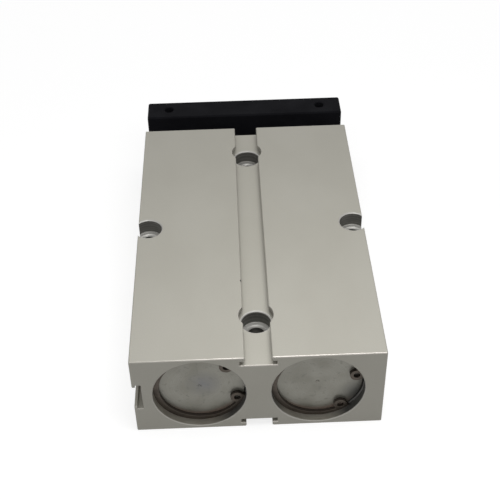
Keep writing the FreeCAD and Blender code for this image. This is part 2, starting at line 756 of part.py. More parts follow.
def check_and_write():
    doc.recompute()
    for thing in doc.Objects:
        if "Invalid" in thing.State or "Error" in thing.State:
            raise RuntimeError(f"{thing.Label} failed: {thing.State}")
    for piece in pieces:
        if piece.Shape.isNull() or not piece.Shape.isValid():
            raise RuntimeError(f"{piece.Label} has no valid shape")
    os.makedirs("parts", exist_ok=True)
    for piece in pieces:
        piece.Shape.exportStep(f"parts/{piece.Label}.step")


make_cylinder_body()
for side, x in SIDES.items():
    make_rear_end(side, x)
    make_front_end(side, x)
    make_piston(side, x)
    make_rod(side, x)
    make_screws(side, x)
make_front_plate()
make_adjuster()
check_and_write()
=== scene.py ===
"""Looks of a twin rod pneumatic cylinder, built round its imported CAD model.

Metres, in the model's own frame: X across the block, Y along the rods towards the front plate,
Z up.
"""

import json
import math

import bmesh
import bpy
from mathutils import Euler, Matrix, Vector


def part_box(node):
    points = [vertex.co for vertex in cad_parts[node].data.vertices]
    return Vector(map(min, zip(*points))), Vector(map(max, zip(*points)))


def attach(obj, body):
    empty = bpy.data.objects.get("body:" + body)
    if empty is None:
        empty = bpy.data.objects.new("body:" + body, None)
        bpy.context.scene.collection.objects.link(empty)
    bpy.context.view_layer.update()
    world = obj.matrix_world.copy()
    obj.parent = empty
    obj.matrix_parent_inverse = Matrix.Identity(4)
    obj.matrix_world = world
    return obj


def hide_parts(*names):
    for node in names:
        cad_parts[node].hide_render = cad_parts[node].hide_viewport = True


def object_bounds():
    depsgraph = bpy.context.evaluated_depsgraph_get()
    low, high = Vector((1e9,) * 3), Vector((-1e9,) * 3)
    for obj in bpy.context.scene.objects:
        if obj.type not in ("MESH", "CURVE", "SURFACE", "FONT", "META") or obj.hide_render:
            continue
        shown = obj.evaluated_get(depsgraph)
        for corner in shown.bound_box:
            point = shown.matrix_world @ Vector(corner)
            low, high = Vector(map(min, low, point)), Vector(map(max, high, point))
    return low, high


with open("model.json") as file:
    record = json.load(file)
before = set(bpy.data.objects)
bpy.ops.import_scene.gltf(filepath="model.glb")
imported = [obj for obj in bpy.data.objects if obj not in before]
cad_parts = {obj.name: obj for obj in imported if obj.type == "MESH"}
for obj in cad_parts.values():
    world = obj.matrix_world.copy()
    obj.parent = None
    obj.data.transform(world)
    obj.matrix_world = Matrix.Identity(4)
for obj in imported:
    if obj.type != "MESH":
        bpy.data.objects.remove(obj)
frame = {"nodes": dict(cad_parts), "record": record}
cad_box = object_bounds()
nodes = frame["nodes"]
record = frame["record"]
mounts = {mount["name"]: mount for mount in record["mounts"]}
rows = {row["node"]: row for row in record["subparts"]}
body_of = {node: body for body, held in record["behaviour"]["bodies"].items() for node in held}
cap_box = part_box("rear_cap_right")

MM = 0.001
SIDES = ("left", "right")
ALONG_Y = (0, 1, 0)
ALONG_Z = (0, 0, 1)
ACROSS_Y = (1, 0, 1)

# Camera, fitted to the photograph
CAMERA_PLACE = Vector((-6.97, -341.58, 302.81)) * MM
CAMERA_TURN = Euler([math.radians(angle) for angle in (49.152, 1.047, -2.039)])
CAMERA_SENSOR = 36.0
CAMERA_LENS = 71.9

# Floor and light
FLOOR_HALF = 3.0
FLOOR_ALBEDO = 0.4
FLOOR_GLOW = 0.77
AMBIENT = 0.42
KEY_LAMP = dict(place=(0.02, -0.10, 0.20), target=(0.02, -0.10, 0), size=0.12, power=0.176)
BACK_LAMP = dict(place=(0.2, 0.9, 1.5), target=(0, -0.06, 0), size=1.0, power=3.6)

# Angles between faces, and parts of a face's normal along an axis
SHARP = math.radians(35)
ROUNDED = math.radians(50)
NUT_SHARP = math.radians(20)
FLAT = math.radians(0.5)
END_ON = 0.999
LEVEL = 0.9
SIDEWAYS = 0.5
UPRIGHT = 0.3

# Widths of the rounded edges, and how close counts as the same place
BLOCK_EDGE = 0.12 * MM
PLATE_EDGE = 0.15 * MM
CLIP_EDGE = 0.1 * MM
EDGE_SEGMENTS = 2
WELD = 0.001 * MM
END_SKIN = 0.005 * MM
WALL_SKIN = 0.01 * MM
SNAP = 0.02 * MM
HOLE_FIT = 0.05 * MM
SLOT_FIT = 0.1 * MM

# The block: its T-slots, counterbores and bores, with the radii between which the painted
# highlight on the grooves' sides comes and goes
SLOT_REACH = 7.0 * MM
SLOT_DEPTH = 4.0 * MM
CBORE_RADIUS = 5.6 * MM
CBORE_RIM = 0.6 * MM
CBORE_MOUTH = 0.35 * MM
BORE_AXIS = ((cap_box[0].x + cap_box[1].x) / 2, 0.0, cad_box[1].z / 2)
BORE_REACH = 18.4 * MM
BORE_EDGE = 18.5 * MM
BORE_MOUTH = 1.0 * MM
GROOVE_HIGHLIGHT = (17.55 * MM, 17.7 * MM, 18.2 * MM, 18.28 * MM)
BLOCK_FINISHES = ("body_aluminium", "machined", "drilled", "bored", "counterbore", "slot_floor",
                  "body_edge")

# Marks of use, painted highlight and painted shade: middles and radii
CAP_FACE = cap_box[0].y
CHIP, CHIP_SIZE = (-5.0 * MM, -53.4 * MM, 37.8 * MM), 1.0 * MM
SMUDGE, SMUDGE_SIZE = (-20.9 * MM, CAP_FACE, 20.2 * MM), 7.5 * MM
# Worn metal and a painted highlight along the rear top edge, strongest towards its right end
RUBBED_HIGHLIGHT, RUBBED_HIGHLIGHT_SIZE = (30.0 * MM, cad_box[0].y, cad_box[1].z), 75 * MM
# Painted shade at the right cap's lower right side
SHADED_CAP, SHADED_CAP_SIZE = (38.0 * MM, CAP_FACE, 12.0 * MM), 8.5 * MM
# Painted shade low on the right side of each bore's wall
SHADED_WALLS = [(39.7 * MM, -93.4 * MM, 13.0 * MM), (-4.7 * MM, -93.4 * MM, 13.0 * MM)]
SHADED_WALL_SIZE = 17 * MM

# Threads: nominal radius and pitch, and the form as shares of half a pitch
PORT_THREAD = (4.86 * MM, 0.907 * MM)
TOOL_THREAD = (3.0 * MM, 1.0 * MM)
EDGE_THREAD = (2.5 * MM, 0.8 * MM)
THREAD_REACH = 12 * MM
CREST_SHARE = 0.125
ROOT_SHARE = 0.75

# Plate screws: the head's seat is (rise, step in from its radius), and its rim (distance from
# its end, step in)
SHANK_RADIUS = 3.4 * MM
SHANK_CHAMFER = 0.6 * MM
HEAD_LENGTH = 8.0 * MM
HEAD_SEAT = (0.25 * MM, 0.4 * MM)
HEAD_RIM = [(0.75 * MM, 0.12 * MM), (0.3 * MM, 0.35 * MM), (0.08 * MM, 0.62 * MM), (0.0, 0.95 * MM)]
KNURL_TEETH = 48
KNURL_DEPTH = 0.22 * MM
KNURL_END = 1.1 * MM

# Hexagon sockets: the mouth is a share of the flats, and the bottom a drill's point
SOCKET_DEPTH = 4.0 * MM
SCREW_SOCKET = dict(flats=6.0 * MM, mouth=0.62, chamfer=0.35 * MM, point=0.9 * MM, tip=0.3 * MM)
BOLT_SOCKET = dict(flats=4.0 * MM, mouth=0.64, chamfer=0.3 * MM, point=0.7 * MM, tip=0.25 * MM)

# Adjusting bolt and lock nut: each of the nut's ends is rows of (distance from the end, radius)
BOLT_PITCH = 1.25 * MM
BOLT_CORE = 3.23 * MM
BOLT_LEAD = 0.6 * MM
TIP_RADIUS = 2.0 * MM
TIP_CHAMFER = 0.25 * MM
NUT_HOLE = 4.05 * MM
NUT_CHAMFER = 0.5 * MM
NUT_ENDS = [(0.0, 6.25 * MM), (0.12 * MM, 6.6 * MM), (0.27 * MM, 6.9 * MM), (0.42 * MM, 7.2 * MM),
            (0.6 * MM, 7.6 * MM)]

# Parts of a noise's range that a ramp spreads out
NARROW = (0.35, 0.65)
BROAD = (0.3, 0.7)

# Changes within a plain finish: shade, roughness, and the size and depth of its tooth
PLAIN_SHADE = 0.8
PLAIN_ROUGHER = 1.25
PLAIN_CLOUD = 9 * MM
PLAIN_TOOTH = (0.4 * MM, 0.004 * MM)


# Materials

class Look:
    """A procedural material: a Principled shader and the nodes that drive it."""

    def __init__(self, name, **sockets):
        self.material = bpy.data.materials.new(name)
        self.material.use_nodes = True
        self.tree = self.material.node_tree
        self.shader = self.tree.nodes["Principled BSDF"]
        for socket, value in sockets.items():
            self.shader.inputs[socket.replace("_", " ")].default_value = value
        self.place = self.node("ShaderNodeTexCoord").outputs["Object"]

    def node(self, kind, inputs=None, **settings):
        """A new node with these settings and inputs."""
        made = self.tree.nodes.new(kind)
        for name, value in settings.items():
            setattr(made, name, value)
        for socket, value in (inputs or {}).items():
            self.feed(made.inputs[socket], value)
        return made

    def feed(self, socket, value):
        """Links an output to a socket, or sets a plain value on it."""
        if isinstance(value, bpy.types.NodeSocket):
            self.tree.links.new(value, socket)
        else:
            socket.default_value = value

    def drive(self, socket, value):
        """Feeds one of the shader's sockets."""
        self.feed(self.shader.inputs[socket], value)

    def math(self, operation, first, second=0.0):
        """The result of a Math node."""
        made = self.node("ShaderNodeMath", {0: first, 1: second}, operation=operation)
        return made.outputs[0]

    def vector(self, operation, first, second=None):
        """The outputs of a Vector Math node."""
        inputs = {0: first} if second is None else {0: first, 1: second}
        return self.node("ShaderNodeVectorMath", inputs, operation=operation).outputs

    def noise(self, size, stretch=(1, 1, 1), detail=3.0):
        """Noise whose features are about this size; stretch makes them longer along an axis."""
        scale = [1 / (size * factor) for factor in stretch]
        place = self.node("ShaderNodeMapping", {"Vector": self.place, "Scale": scale})
        made = self.node("ShaderNodeTexNoise",
                         {"Vector": place.outputs[0], "Scale": 1.0, "Detail": detail})
        return made.outputs[0]

    def stripes(self, distance, pitch, detail):
        """Noise that changes with a distance alone."""
        turns = self.math("DIVIDE", distance, pitch)
        made = self.node("ShaderNodeTexNoise", {"W": turns, "Scale": 1.0, "Detail": detail},
                         noise_dimensions="1D")
        return made.outputs[0]

    def radius(self):
        """Distance from the nearer bore's axis."""
        beside = self.vector("ABSOLUTE", self.place)[0]
        away = self.vector("SUBTRACT", beside, BORE_AXIS)[0]
        across = self.vector("MULTIPLY", away, ACROSS_Y)[0]
        return self.vector("LENGTH", across)["Value"]

    def rings(self, pitch):
        """Turning marks round the bores' axes."""
        return self.stripes(self.radius(), pitch, detail=2.0)

    def along(self, axis):
        """Distance from the origin along an axis."""
        return self.vector("DOT_PRODUCT", self.place, axis)["Value"]

    def lines(self, axis, pitch, detail=1.0):
        """Fine lines across an axis, such as the marks of a boring tool."""
        return self.stripes(self.along(axis), pitch, detail)

    def spot(self, middle, radius):
        """1 at a point, falling to 0 at a distance from it."""
        away = self.vector("DISTANCE", self.place, middle)["Value"]
        return self.ramp(away, 0.0, radius, start=1.0, end=0.0)

    def ramp(self, value, low, high, start=0.0, end=1.0):
        """Maps a value from low-high to start-end."""
        made = self.node("ShaderNodeMapRange", {"Value": value, "From Min": low, "From Max": high,
                                                "To Min": start, "To Max": end})
        return made.outputs[0]

    def blend(self, factor, first, second):
        """Mixes two colours, through the Mix node's colour sockets."""
        made = self.node("ShaderNodeMix", data_type="RGBA")
        self.feed(made.inputs["Factor"], factor)
        for socket, colour in zip(made.inputs[6:8], (first, second)):
            is_linked = isinstance(colour, bpy.types.NodeSocket)
            self.feed(socket, colour if is_linked else (*colour, 1.0))
        return made.outputs[2]

    def roughen(self, value, smooth, rough, spread=BROAD):
        """Roughness that changes with a noise."""
        self.drive("Roughness", self.ramp(value, *spread, smooth, rough))

    def bump(self, *layers):
        """Raises the surface by layers of (height, depth in metres)."""
        normal = None
        for height, depth in layers:
            made = self.node("ShaderNodeBump",
                             {"Height": height, "Distance": depth, "Strength": 1.0})
            if normal:
                self.feed(made.inputs["Normal"], normal)
            normal = made.outputs[0]
        self.drive("Normal", normal)


def shaded(colour, shade):
    """A colour made lighter or darker."""
    return [part * shade for part in colour]


def body_aluminium(name, shade=1.0):
    """Blasted and anodised: warm grey, faintly clouded, with a fine tooth and a chip."""
    dim, fair = (0.376, 0.363, 0.316), (0.406, 0.393, 0.346)
    fleck, scar = (0.31, 0.302, 0.266), (0.045, 0.042, 0.038)
    look = Look(name, Metallic=0.25, Specular_IOR_Level=0.3)
    clouds = look.noise(28 * MM, stretch=(1, 1.6, 1))
    speckle = look.noise(0.5 * MM, detail=1.0)
    grain = look.noise(0.16 * MM, detail=0.0)
    grey = look.blend(look.ramp(clouds, *NARROW), shaded(dim, shade), shaded(fair, shade))
    grey = look.blend(look.ramp(speckle, 0.3, 0.75, end=0.16), grey, fleck)
    ragged = look.ramp(look.noise(0.7 * MM), 0.3, 0.6, start=0.6, end=1.6)
    chip = look.math("MULTIPLY", look.spot(CHIP, CHIP_SIZE), ragged)
    look.drive("Base Color", look.blend(look.ramp(chip, 0.35, 0.6), grey, scar))
    look.roughen(clouds, 0.44, 0.52)
    look.bump((speckle, 0.006 * MM), (grain, 0.004 * MM))
    return look.material


def rubbed_edge_highlight():
    """The block's edges, worn through to the metal at one end, where the lighter colour is also a
    painted highlight.
    """
    anodised, bare_highlight = (0.40, 0.385, 0.345), (0.58, 0.545, 0.51)
    look = Look("body_edge", Metallic=0.6)
    patchy = look.ramp(look.noise(9 * MM, detail=5.0), 0.4, 0.62, start=1.0, end=0.45)
    # Near one end the edges are lighter: worn metal, and a painted highlight
    near = look.ramp(look.spot(RUBBED_HIGHLIGHT, RUBBED_HIGHLIGHT_SIZE), 0.0, 0.4)
    worn_and_lit = look.math("MULTIPLY", near, patchy)
    look.drive("Base Color", look.blend(worn_and_lit, anodised, bare_highlight))
    look.roughen(worn_and_lit, 0.46, 0.30, spread=(0.0, 1.0))
    look.bump((look.noise(0.4 * MM), 0.006 * MM))
    return look.material


def cap_aluminium():
    """Turned and anodised: fine rings, blotched and stained, one smudged; brown oil with a painted
    warm highlight low on the rim, and painted shade on one side.
    """
    dim, fair, groove = (0.235, 0.228, 0.192), (0.325, 0.316, 0.276), (0.15, 0.145, 0.12)
    stain, blur = (0.14, 0.138, 0.118), (0.185, 0.186, 0.196)
    oil_and_highlight_brown, cap_shade = (0.36, 0.27, 0.215), (0.13, 0.128, 0.117)
    look = Look("cap_aluminium", Metallic=0.4)
    rings = look.rings(0.30 * MM)
    blotches = look.noise(8 * MM, detail=4.0)
    stains = look.noise(2.0 * MM)
    grey = look.blend(look.ramp(blotches, 0.36, 0.66), dim, fair)
    grey = look.blend(look.ramp(rings, 0.35, 0.7, end=0.22), grey, groove)
    grey = look.blend(look.ramp(stains, 0.56, 0.72, end=0.5), grey, stain)
    smudge = look.math("MULTIPLY", look.spot(SMUDGE, SMUDGE_SIZE),
                       look.ramp(blotches, 0.3, 0.6, start=0.4))
    grey = look.blend(smudge, grey, blur)
    # Brown low on the rim: oil staining, and a painted warm highlight
    rim = look.ramp(look.radius(), 14.0 * MM, 15.4 * MM, end=0.7)
    bottom = look.ramp(look.along(ALONG_Z), 6.0 * MM, 11.0 * MM, start=1.0, end=0.0)
    grey = look.blend(look.math("MULTIPLY", rim, bottom), grey, oil_and_highlight_brown)
    # Painted shade darkens the cap near its lower right edge
    painted_shade = look.ramp(look.spot(SHADED_CAP, SHADED_CAP_SIZE), 0.0, 0.8)
    look.drive("Base Color", look.blend(painted_shade, grey, cap_shade))
    look.roughen(blotches, 0.28, 0.42, spread=NARROW)
    look.bump((rings, 0.003 * MM), (stains, 0.004 * MM))
    return look.material


def machined(name, bright, dark, metallic):
    """Cut aluminium with the tool's lines across the holes' axes."""
    look = Look(name, Metallic=metallic)
    lines = look.lines(ALONG_Z, 0.45 * MM)
    look.drive("Base Color", look.blend(look.ramp(lines, *NARROW), bright, dark))
    look.roughen(look.noise(1.2 * MM), 0.42, 0.55)
    look.bump((lines, 0.012 * MM))
    return look.material


def drilled():
    """The mounting holes: painted very dark as shade near their ends, grey in the middle of the
    block.
    """
    fair, dim, painted_black = (0.26, 0.252, 0.23), (0.20, 0.194, 0.176), (0.008, 0.008, 0.0075)
    look = Look("drilled", Metallic=0.0, Specular_IOR_Level=0.1)
    away = look.math("ABSOLUTE", look.math("SUBTRACT", look.along(ALONG_Z), BORE_AXIS[2]))
    grey = look.blend(look.ramp(look.noise(2.0 * MM), *NARROW), fair, dim)
    # Painted shade: very dark near the holes' ends, where they are deep
    look.drive("Base Color", look.blend(look.ramp(away, 6.2 * MM, 9.0 * MM), grey, painted_black))
    look.roughen(look.noise(0.5 * MM), 0.5, 0.7)
    look.bump((look.lines(ALONG_Z, 0.3 * MM), 0.008 * MM))
    return look.material


def bored():
    """The bores' mouths: turned, anodised, darkened by oil in patches, with painted shade low on
    the walls' right sides and a painted highlight on the groove's sides.
    """
    fair, dim, line = (0.36, 0.345, 0.30), (0.27, 0.25, 0.21), (0.20, 0.185, 0.16)
    painted_black, light = (0.085, 0.085, 0.08), (0.50, 0.49, 0.47)
    look = Look("bored", Metallic=0.5)
    lines = look.lines(ALONG_Y, 0.22 * MM)
    oil = look.noise(6 * MM, stretch=(1, 0.5, 1))
    grey = look.blend(look.ramp(oil, *NARROW), fair, dim)
    grey = look.blend(look.ramp(lines, 0.4, 0.7, end=0.3), grey, line)
    # Painted shade low on the walls' right sides
    for place in SHADED_WALLS:
        painted_shade = look.ramp(look.spot(place, SHADED_WALL_SIZE), 0.0, 0.45)
        grey = look.blend(painted_shade, grey, painted_black)
    radius = look.radius()
    # Painted highlight on the groove's sides
    side = look.math("MULTIPLY", look.ramp(radius, *GROOVE_HIGHLIGHT[:2]),
                     look.ramp(radius, *GROOVE_HIGHLIGHT[2:], start=1.0, end=0.0))
    look.drive("Base Color", look.blend(side, grey, light))
    look.roughen(oil, 0.36, 0.46)
    look.bump((lines, 0.006 * MM))
    return look.material


def spring_steel():
    """Dark phosphated steel, brownish."""
    fair, dim = (0.090, 0.075, 0.061), (0.061, 0.051, 0.042)
    look = Look("spring_steel", Metallic=0.8)
    cloud = look.noise(3.0 * MM)
    look.drive("Base Color", look.blend(look.ramp(cloud, *NARROW), fair, dim))
    look.roughen(cloud, 0.34, 0.46)
    look.bump((look.noise(0.25 * MM), 0.004 * MM))
    return look.material


def turned(name, bright, dark, metallic):
    """Turned on the bores' axes, with the tool's rings on the ends and lines round the sides."""
    look = Look(name, Metallic=metallic)
    rings = look.rings(0.25 * MM)
    lines = look.lines(ALONG_Y, 0.25 * MM)
    cloud = look.noise(7 * MM)
    metal = look.blend(look.ramp(rings, 0.35, 0.7, end=0.6), bright, dark)
    metal = look.blend(look.ramp(lines, 0.35, 0.7, end=0.4), metal, dark)
    metal = look.blend(look.ramp(cloud, 0.4, 0.7, end=0.25), metal, dark)
    look.drive("Base Color", metal)
    look.roughen(cloud, 0.26, 0.38)
    look.bump((rings, 0.005 * MM), (lines, 0.005 * MM))
    return look.material


def chrome():
    """Hard chrome, ground round the rod, with the finest of lines."""
    bright, dark = (0.56, 0.56, 0.57), (0.47, 0.47, 0.48)
    look = Look("rod_chrome", Metallic=1.0)
    lines = look.lines(ALONG_Y, 0.12 * MM, detail=3.0)
    look.drive("Base Color", look.blend(look.ramp(lines, *BROAD), bright, dark))
    look.roughen(lines, 0.08, 0.16)
    look.bump((lines, 0.0006 * MM))
    return look.material


def plain(name, colour, metallic, roughness, **sockets):
    """A finish with small changes of shade and a fine tooth."""
    tooth, depth = PLAIN_TOOTH
    look = Look(name, Metallic=metallic, **sockets)
    cloud = look.noise(PLAIN_CLOUD)
    dim = shaded(colour, PLAIN_SHADE)
    look.drive("Base Color", look.blend(look.ramp(cloud, *NARROW), colour, dim))
    look.roughen(cloud, roughness, PLAIN_ROUGHER * roughness)
    look.bump((look.noise(tooth), depth))
    return look.material


# Plain finishes: colour, metallic, roughness
PLAIN = {
    "seal_rubber": ((0.018, 0.018, 0.019), 0.0, 0.55),
    "urethane": ((0.05, 0.05, 0.055), 0.0, 0.45),
    "bush_bronze": ((0.42, 0.29, 0.15), 1.0, 0.35),
    "wear_plastic": ((0.12, 0.09, 0.06), 0.0, 0.5),
    "magnet_compound": ((0.05, 0.05, 0.052), 0.0, 0.5),
    "screw_black": ((0.022, 0.022, 0.024), 0.6, 0.35),
    "zinc_steel": ((0.56, 0.56, 0.55), 1.0, 0.28),
    "clip_edge": ((0.088, 0.075, 0.061), 0.8, 0.4),
    # Circlip sides: dark brown, painted shade in the gap beside the cap
    "clip_side_shade": ((0.030, 0.022, 0.016), 0.3, 0.5),
}

# Cut finishes: how they are cut, bright and dark colour, metallic
CUT = {
    "cover_aluminium": (turned, (0.50, 0.49, 0.45), (0.34, 0.33, 0.30), 0.8),
    "piston_aluminium": (turned, (0.55, 0.54, 0.51), (0.42, 0.41, 0.38), 0.9),
    "machined": (machined, (0.52, 0.51, 0.48), (0.39, 0.382, 0.358), 0.45),
    # Counterbore walls: the machined finish painted dark, as shade in the recess
    "counterbore": (machined, (0.19, 0.185, 0.17), (0.10, 0.097, 0.088), 0.3),
}

LOOKS = {
    "body_aluminium": body_aluminium("body_aluminium"),
    # The T-slots' floors: a lighter copy of the block's finish, painted light
    "slot_floor": body_aluminium("slot_floor", shade=1.09),
    "body_edge": rubbed_edge_highlight(),
    "drilled": drilled(),
    "bored": bored(),
    "cap_aluminium": cap_aluminium(),
    "spring_steel": spring_steel(),
    "rod_chrome": chrome(),
    "plate_black": plain("plate_black", (0.0095, 0.0095, 0.0115), metallic=0.0, roughness=0.5,
                         Specular_IOR_Level=0.02),
}
for name, values in PLAIN.items():
    LOOKS[name] = plain(name, *values)
for name, (make, *values) in CUT.items():
    LOOKS[name] = make(name, *values)

for node, row in rows.items():
    for slot in nodes[node].material_slots:
        slot.material = LOOKS[row["material_slot"]]


# Shapes

def hexagon(flats, start=0.0):
    """Radius of a hexagon as a function of the angle, with a flat's middle at the start."""
    sixth = math.pi / 3
    return lambda turn: flats / 2 / math.cos((turn - start + sixth / 2) % sixth - sixth / 2)


def knurl(radius, teeth, depth):
    """Radius of a straight knurl as a function of the angle."""
    return lambda turn: radius - depth * (0.5 - 0.5 * math.cos(teeth * turn))


def at_angle(radius, turn):
    """A radius at an angle, of which it may be a function."""
    return radius(turn) if callable(radius) else radius


def least(*radii):
    """The smaller of several radii at each angle."""
    return lambda turn: min(at_angle(radius, turn) for radius in radii)


def thread(core, crest, pitch, along):
    """Radius of a right-hand thread at a place along its axis."""
    def radius(turn):
        phase = (along / pitch + turn / (2 * math.pi)) % 1.0
        rise = (ROOT_SHARE - abs(2 * phase - 1)) / (ROOT_SHARE - CREST_SHARE)
        return core + (crest - core) * min(max(rise, 0.0), 1.0)
    return radius


def threaded(core, crest, pitch, start, end, steps):
    """Stations along a thread, steps of them to each turn."""
    count = math.ceil((end - start) / pitch * steps)
    places = [start + (end - start) * step / count for step in range(count + 1)]
    return [(along, thread(core, crest, pitch, along)) for along in places]


def socket(end, flats, mouth, chamfer, point, tip):
    """Stations of a hexagon socket that opens at this end, with a drill's point at its bottom."""
    key = hexagon(flats)
    bottom = end - SOCKET_DEPTH
    return [(end, flats * mouth), (end - chamfer, key), (bottom, key), (bottom - point, tip)]


def add_band(shape, first, second, index=0):
    """Joins two rings of as many corners by a band of faces in one finish."""
    for step in range(len(first)):
        face = shape.faces.new((first[step - 1], first[step], second[step], second[step - 1]))
        face.material_index = index


def lathe(stations, count, middle, closed=False):
    """Rings round an axis along Y, each (place along it, radius or function of the angle), joined
    to a solid."""
    shape = bmesh.new()
    turns = [2 * math.pi * step / count for step in range(count)]
    rings = []
    for along, radius in stations:
        reach = [at_angle(radius, turn) for turn in turns]
        rings.append([shape.verts.new((r * math.cos(turn), along, r * math.sin(turn)))
                      for r, turn in zip(reach, turns)])
    after = rings[1:] + (rings[:1] if closed else [])
    for first, second in zip(rings, after):
        add_band(shape, first, second)
    if not closed:
        shape.faces.new(rings[0])
        shape.faces.new(rings[-1])
    bmesh.ops.recalc_face_normals(shape, faces=shape.faces)
    shape.transform(Matrix.Translation((middle.x, 0, middle.z)))
    return shape


def make_object(name, shape, angle=SHARP):
    """An object of this shape, smooth apart from its flats and edges sharper than the angle."""
    for face in shape.faces:
        face.smooth = len(face.verts) <= 4 and abs(face.normal.y) < END_ON
    for edge in shape.edges:
        edge.smooth = edge.calc_face_angle(math.pi) < angle
    mesh = bpy.data.meshes.new(name)
    shape.to_mesh(mesh)
    shape.free()
    return add_object(name, mesh)


def add_object(name, data):
    """A new object in the scene with this data."""
    thing = bpy.data.objects.new(name, data)
    bpy.context.scene.collection.objects.link(thing)
    return thing


def add_piece(piece, node):
    """Puts a piece in a CAD node's place, on its body and with its finish."""
    row = rows[node]
    body = body_of[node]
    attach(piece, body)
    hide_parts(node)
    if not piece.data.materials:
        piece.data.materials.append(LOOKS[row["material_slot"]])


def merged(node):
    """A CAD node's mesh with its flats merged."""
    shape = bmesh.new()
    shape.from_mesh(nodes[node].data)
    bmesh.ops.remove_doubles(shape, verts=shape.verts, dist=WELD)
    bmesh.ops.dissolve_limit(shape, angle_limit=FLAT, verts=shape.verts, edges=shape.edges)
    return shape


def soften(shape, box, width, edge_index=0, is_kept=lambda edge: True):
    """Rounds the sharp edges of a shape that fills this box slightly, in one of its finishes."""
    sharp = [edge for edge in shape.edges if edge.calc_face_angle() > SHARP and is_kept(edge)]
    for face in shape.faces:
        face.material_index = 0
    rounded = bmesh.ops.bevel(shape, geom=sharp, offset=width, offset_type="OFFSET",
                              segments=EDGE_SEGMENTS, profile=0.5, affect="EDGES",
                              clamp_overlap=False)
    for face in rounded["faces"]:
        face.material_index = edge_index
    snap_to_box(shape, *box)
    bmesh.ops.dissolve_degenerate(shape, edges=shape.edges, dist=END_SKIN)


def snap_to_box(shape, low, high):
    """Puts corners that the rounding left a hair off the box's faces back on them."""
    for vert in shape.verts:
        for axis in range(3):
            for level in (low[axis], high[axis]):
                if abs(vert.co[axis] - level) < SNAP:
                    vert.co[axis] = level


def cut_thread(shape, place, axis, core, form, index=0, steps=8):
    """Turns the plain round wall of a hole into a thread of this form, in one of its finishes;
    place is a point on its axis."""
    turn = Vector(ALONG_Y).rotation_difference(Vector(axis)).to_matrix().to_4x4()
    hole = Matrix.Translation(place) @ turn
    to_hole = hole.inverted()

    def is_on_wall(vert):
        spot = to_hole @ vert.co
        is_round = abs(math.hypot(spot.x, spot.z) - core) < WALL_SKIN
        return is_round and abs(spot.y) < THREAD_REACH

    def angle_of(vert):
        """The corner's angle round the hole, the same at both ends of the full turn."""
        angle = math.atan2(spots[vert].z, spots[vert].x)
        return angle if angle > FLAT - math.pi else angle + 2 * math.pi

    wall = [face for face in shape.faces if all(is_on_wall(vert) for vert in face.verts)]
    spots = {vert: to_hole @ vert.co for face in wall for vert in face.verts}
    low = min(spot.y for spot in spots.values())
    high = max(spot.y for spot in spots.values())
    ends = [[], []]
    for vert in sorted(spots, key=angle_of):
        ends[spots[vert].y > (low + high) / 2].append(vert)
    turns = [angle_of(vert) for vert in ends[0]]
    rings = [ends[0]]
    for along, radius in threaded(core, *form, low, high, steps)[1:-1]:
        rings.append([shape.verts.new(hole @ Vector((radius(angle) * math.cos(angle), along,
                                                     radius(angle) * math.sin(angle))))
                      for angle in turns])
    rings.append(ends[1])
    bmesh.ops.delete(shape, geom=wall, context="FACES")
    for first, second in zip(rings, rings[1:]):
        add_band(shape, first, second, index)
    bmesh.ops.recalc_face_normals(shape, faces=shape.faces)


def weigh_normals(piece):
    """Keeps flats flat in the shading beside rounded edges."""
    change = piece.modifiers.new("normals", "WEIGHTED_NORMAL")
    change.keep_sharp = True


# Pieces

def hole_centres():
    """Middles of the mounting holes, seen from above."""
    found = []
    for name in ("middle_bolts", "side_bolts"):
        mount = mounts[name]
        middle = Vector(mount["pos_m"][:2])
        dims = mount["dims"]
        reach = Vector((dims.get("spacing_x_mm", 0), dims.get("spacing_y_mm", 0))) * MM / 2
        found += [middle - reach, middle + reach]
    return found


def bore_distance(spot):
    """Distance from the nearer bore's axis."""
    return math.hypot(abs(spot.x) - BORE_AXIS[0], spot.z - BORE_AXIS[2])


def is_slot_floor(face):
    """Whether a face of the block is the floor of one of its T-slots."""
    depth = min(face.center.z, cad_box[1].z - face.center.z)
    is_between = abs(face.center.x) < SLOT_REACH and abs(depth - SLOT_DEPTH) < SLOT_FIT
    return is_between and abs(face.normal.z) > LEVEL


def block_finish(face, corners, centres, hole_radius, low, high):
    """Finish of one face of the block, which fills this box, as a place in BLOCK_FINISHES."""
    is_rounded = face.material_index == BLOCK_FINISHES.index("body_edge")
    is_upright = abs(face.normal.z) < UPRIGHT
    is_end = min(face.center.y - low.y, high.y - face.center.y) < END_SKIN
    reach = min(max((corner.xy - centre).length for corner in corners) for centre in centres)
    if reach < hole_radius + HOLE_FIT:
        finish = "drilled"
    elif reach < CBORE_RADIUS + HOLE_FIT and is_upright:
        finish = "counterbore"
    elif reach < CBORE_RADIUS + CBORE_RIM:
        finish = "machined"
    elif not is_end and max(bore_distance(corner) for corner in corners) < BORE_REACH:
        finish = "body_aluminium" if is_rounded else "bored"
    elif is_rounded and is_upright:
        finish = "body_aluminium"
    elif is_slot_floor(face):
        finish = "slot_floor"
    else:
        finish = BLOCK_FINISHES[face.material_index]
    return BLOCK_FINISHES.index(finish)


